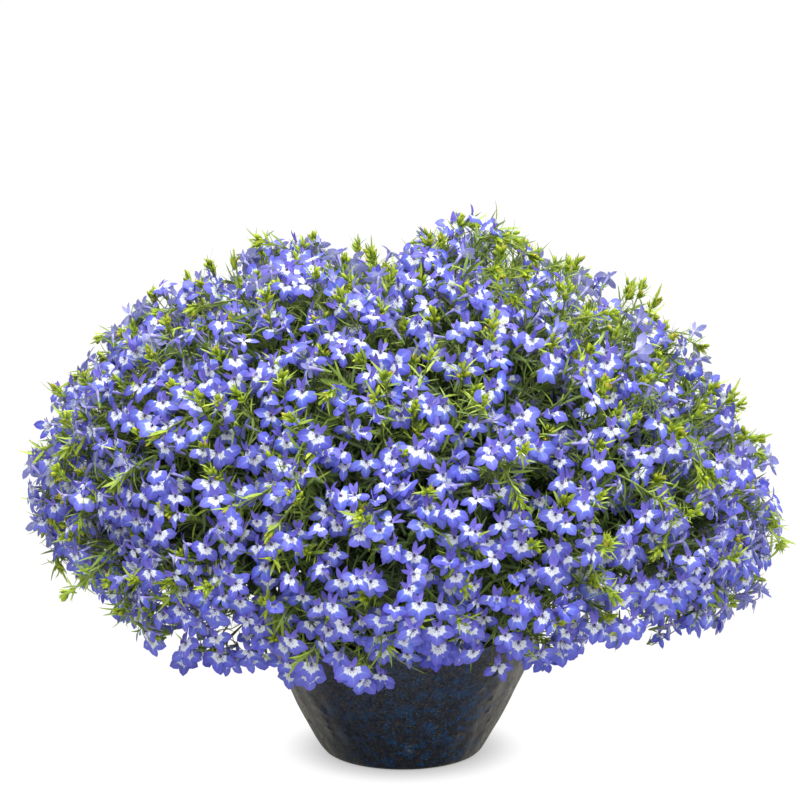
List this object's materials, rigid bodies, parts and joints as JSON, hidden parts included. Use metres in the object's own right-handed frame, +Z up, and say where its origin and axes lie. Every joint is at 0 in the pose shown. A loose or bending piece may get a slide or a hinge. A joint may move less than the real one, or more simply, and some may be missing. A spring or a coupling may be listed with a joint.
{
  "type": "trailing lobelia in a pot",
  "caption": "Trailing lobelia in full bloom, a wide rounded mound of small blue flowers and green leafy stems that grows out of and hangs over a dark glazed bowl.",
  "frame": {"origin": "middle of the bowl's flat underside, on the surface that it stands on", "axes": "+Z up, +X to the right as seen from the front, -Y towards the front"},
  "size_m": [0.4496, 0.4365, 0.3266],
  "materials": {
    "glaze": "glossy dark blue-black glaze, mottled",
    "soil": "damp crumbly potting compost",
    "foliage": "soft green leaves and stems",
    "bloom": "thin matt violet-blue petals"
  },
  "bodies": {
    "root": {"bowl": "glaze", "soil": "soil", "leafy_spray_01": "foliage", "leafy_spray_02": "foliage", "leafy_spray_03": "foliage", "leafy_spray_04": "foliage", "leafy_spray_05": "foliage", "leafy_spray_06": "foliage", "leafy_spray_07": "foliage", "leafy_spray_08": "foliage", "leafy_spray_09": "foliage", "leafy_spray_10": "foliage", "leafy_spray_11": "foliage", "leafy_spray_12": "foliage", "leafy_spray_13": "foliage", "leafy_spray_14": "foliage", "leafy_spray_15": "foliage", "leafy_spray_16": "foliage", "leafy_spray_17": "foliage", "leafy_spray_18": "foliage", "leafy_spray_19": "foliage", "leafy_spray_20": "foliage", "leafy_spray_21": "foliage", "leafy_spray_22": "foliage", "leafy_spray_23": "foliage", "leafy_spray_24": "foliage", "leafy_spray_25": "foliage", "bloom_spray_01": "bloom", "bloom_spray_02": "bloom", "bloom_spray_03": "bloom", "bloom_spray_04": "bloom", "bloom_spray_05": "bloom", "bloom_spray_06": "bloom", "bloom_spray_07": "bloom", "bloom_spray_08": "bloom", "bloom_spray_09": "bloom", "bloom_spray_10": "bloom", "bloom_spray_11": "bloom", "bloom_spray_12": "bloom", "bloom_spray_13": "bloom", "bloom_spray_14": "bloom", "bloom_spray_15": "bloom", "bloom_spray_16": "bloom", "bloom_spray_17": "bloom", "bloom_spray_18": "bloom", "bloom_spray_19": "bloom", "bloom_spray_20": "bloom", "bloom_spray_21": "bloom", "bloom_spray_22": "bloom", "bloom_spray_23": "bloom", "bloom_spray_24": "bloom", "bloom_spray_25": "bloom"}
  },
  "joints": []
}
